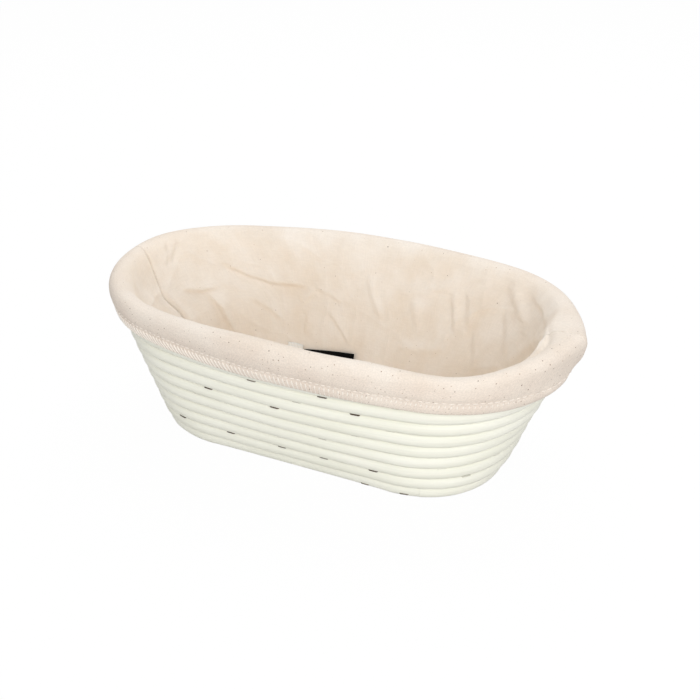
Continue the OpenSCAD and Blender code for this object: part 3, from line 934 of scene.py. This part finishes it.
# Overlock stitches wrap the hem, with a row of plain stitches where it is sewn down
stitches = {
    "gap": 2.45 * mm,
    "wide": 0.55 * mm,
    "proud": 0.6 * mm,
    "flatProud": 0.3 * mm,  # pulled flatter towards the right
    "lean": 1.3 * mm,
    "plainGap": 3.2 * mm,
    "plainWide": 0.28 * mm,
    "plainShare": 0.36,  # half of each plain stitch, as a share of its gap
}


def addStitch(bm, low, high, face, wide, proud):
    along = (high - low) / 2
    across = along.cross(face).normalized()
    turned = Matrix((across * wide, face * proud, along)).transposed().to_4x4()
    middle = Matrix.Translation((low + high) / 2 + face * proud * 0.3)
    bmesh.ops.create_uvsphere(bm, u_segments=6, v_segments=5, radius=1, matrix=middle @ turned)


def hemFace(share, row):  # which way the cloth faces on the outside of the cuff
    rise = linerPoint(share, row - 1.5) - linerPoint(share, row + 1.5)
    return (linerPoint(share + 0.002, row) - linerPoint(share - 0.002, row)).cross(rise).normalized()


for name, start in (("hemThreadBack", 0.0), ("hemThreadFront", 0.5)):
    bm = bmesh.new()
    count = round(girth / 2 / stitches["gap"])
    lean = stitches["lean"] / girth / 2
    for n in range(count):
        share = start + 0.5 * (n + 0.5) / count
        low, high = linerPoint(share + lean, hemRow - 1.2), linerPoint(share - lean, creaseRow + 0.8)
        proud = mix(stitches["proud"], stitches["flatProud"], smooth((share - 0.64) / 0.24))
        addStitch(bm, low, high, hemFace(share, (hemRow + creaseRow) / 2), stitches["wide"], proud)
    count = round(girth / 2 / stitches["plainGap"])
    row, reach = creaseRow - 0.6, 0.5 / count * stitches["plainShare"]
    for n in range(count):
        share = start + 0.5 * (n + 0.5) / count
        low, high = linerPoint(share - reach, row), linerPoint(share + reach, row)
        addStitch(bm, low, high, hemFace(share, row), stitches["plainWide"], stitches["plainWide"])
    finishPiece(name, bm, overlockThread, "liner", "liner_cloth")
print("hem stitched")

# Satin label ribbon: smooth close weave with a soft gloss, left bare
labels = {
    "foot": 38.9 * mm,
    "footUp": 0.3 * mm,
    "lean": math.radians(20),
    "thick": 0.35 * mm,
    "bowAcross": 0.8 * mm,
    "bowUp": 0.4 * mm,
    "rib": 0.5 * mm,
    "wovenLabel": {
        "from": -41 * mm, "wide": 32 * mm, "tall": 13 * mm, "drop": 3.7 * mm,
        "dark": "#030303", "light": "#09090A", "node": "woven_label",
    },
    "careLabel": {
        "from": -52 * mm, "wide": 10 * mm, "tall": 11.5 * mm, "drop": 0.0,
        "dark": "#EDECE8", "light": "#FAFAF7", "node": "care_label",
    },
}


def labelPlace(label):
    def place(u, v):
        tall = label["tall"] - label["drop"] * (1 - u)
        bow = labels["bowAcross"] * math.sin(math.pi * u) * v + labels["bowUp"] * math.sin(math.pi * v)
        out = labels["foot"] + v * tall * math.sin(labels["lean"]) + bow
        rise = liner["floorTop"] + labels["footUp"] + v * tall * math.cos(labels["lean"])
        return Vector((label["from"] + u * label["wide"], out, rise))
    return place


for name in ("wovenLabel", "careLabel"):
    label = labels[name]
    satin, tree, shader = newMaterial(name + "Satin")
    ribbonWeave = clothMap(tree)
    ribInputs = {"Vector": ribbonWeave, "Scale": 1 / (2 * math.pi * labels["rib"]), "Distortion": 0.4}
    ribs = addNode(tree, "TexWave", ribInputs).outputs["Fac"]
    satinTone = blend(tree, ribs, label["dark"], label["light"])
    satinBump = addNode(tree, "Bump", {"Height": ribs, "Strength": 0.2, "Distance": 0.1 * mm}).outputs[0]
    plug(tree, shader, {"Base Color": satinTone, "Normal": satinBump, "Roughness": 0.6, "Specular IOR Level": 0.06})
    flatten = lambda u, v: (u * label["wide"], v * label["tall"])
    ribbon = layCloth(name, 24, 10, labelPlace(label), flatten, satin, label["node"])
    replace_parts(thicken(ribbon, labels["thick"], 0), label["node"])
print("labels sewn in")

# The camera stands where the photograph was taken from
shot = {"azimuth": 25.1, "elevation": 28.52, "distance": 549 * mm, "right": 7.84 * mm, "up": 40.1 * mm, "lens": 51.1}
az, el = math.radians(shot["azimuth"]), math.radians(shot["elevation"])
back = Vector((math.sin(az) * math.cos(el), -math.cos(az) * math.cos(el), math.sin(el)))
right = Vector((math.cos(az), math.sin(az), 0))
camera = bpy.data.objects.new("camera", bpy.data.cameras.new("camera"))
camera.data.lens, camera.data.sensor_width = shot["lens"], 36
camera.data.clip_start = 0.01
camera.matrix_world = Matrix((right, back.cross(right), back)).transposed().to_4x4()
camera.location = right * shot["right"] + back.cross(right) * shot["up"] + back * shot["distance"]
scene.collection.objects.link(camera)
scene.camera = camera

# A pale floor that the camera sees white, soft lamps low in front and high at the back, and an even white surround
studio = {
    "floor": 4.0,
    "floorDrop": 0.1 * mm,  # just clear of the foot's flat
    "paper": "#C0C0C0",
    "glow": 1.03,
    "glowShare": 0.94,  # the rest keeps the object's shadow
    "surround": 0.53,
    "lampSize": 1.0,
    "lampAway": 1.2,
    "lampAim": 40 * mm,
    "lamps": {"frontSoftbox": {"power": 9.0, "turn": 30, "rise": 22}, "backSoftbox": {"power": 6.5, "turn": 190, "rise": 60}},
}


def seenShare(tree):  # one for what the camera sees, straight, mirrored or through glass
    path = addNode(tree, "LightPath").outputs
    seen = maths(tree, "ADD", path["Is Camera Ray"], path["Is Glossy Ray"])
    return maths(tree, "ADD", seen, path["Is Transmission Ray"], use_clamp=True)


paper, tree, shader = newMaterial("whitePaperFloor")
plug(tree, shader, {"Base Color": linear(studio["paper"]), "Roughness": 0.9})
glow = addNode(tree, "Emission", {"Color": (1, 1, 1, 1), "Strength": studio["glow"]})
glowShare = maths(tree, "MULTIPLY", seenShare(tree), studio["glowShare"])
paperMix = addNode(tree, "MixShader", {0: glowShare, 1: shader.outputs[0], 2: glow.outputs[0]})
tree.links.new(paperMix.outputs[0], tree.nodes["Material Output"].inputs["Surface"])
bm = bmesh.new()
bmesh.ops.create_grid(bm, x_segments=1, y_segments=1, size=studio["floor"])
floor = addObject("studioFloor", bm, paper)
floor.location.z = -studio["floorDrop"]

world = bpy.data.worlds.new("whiteSurround")
world.use_nodes = True
tree = world.node_tree
level = ranged(tree, seenShare(tree), 0.0, 1.0, studio["surround"], 1.0)
plug(tree, tree.nodes["Background"], {"Color": (1, 1, 1, 1), "Strength": level})
scene.world = world

for name, light in studio["lamps"].items():
    lamp = bpy.data.objects.new(name, bpy.data.lights.new(name, "AREA"))
    lamp.data.energy, lamp.data.size = light["power"], studio["lampSize"]
    turn, rise = math.radians(light["turn"]), math.radians(light["rise"])
    lamp.location = studio["lampAway"] * Vector((math.sin(turn) * math.cos(rise), -math.cos(turn) * math.cos(rise), math.sin(rise)))
    lamp.rotation_euler = (lamp.location - studio["lampAim"] * up).to_track_quat("Z", "Y").to_euler()
    scene.collection.objects.link(lamp)
scene.view_settings.view_transform = "Standard"
print("stage set")
